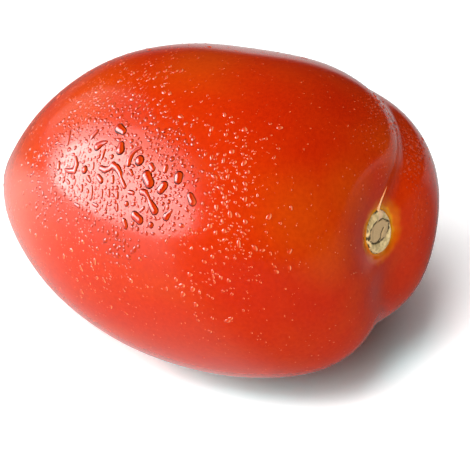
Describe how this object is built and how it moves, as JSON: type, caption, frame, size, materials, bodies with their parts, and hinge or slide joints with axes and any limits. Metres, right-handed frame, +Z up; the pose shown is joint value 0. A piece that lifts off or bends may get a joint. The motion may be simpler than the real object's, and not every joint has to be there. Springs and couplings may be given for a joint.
{
  "type": "plum tomato",
  "caption": "Red plum tomato, picked, lying on its side: pointed blossom end, broad grooved shoulders and a corky stem scar in a dimple.",
  "frame": {"origin": "centre of the bounding box's bottom face, on the surface that the fruit rests on", "axes": "+Z up; +X level, along the fruit's axis as seen from above, towards the stem end"},
  "size_m": [0.081, 0.055, 0.0558],
  "materials": {
    "skin": "glossy waxy red skin, orange-red on the lit side, with a yellow-orange ring round the stem scar",
    "stem_scar": "dry rough cork, tan",
    "water": "clear water drops"
  },
  "bodies": {
    "root": {"tomato": "skin"}
  },
  "joints": []
}
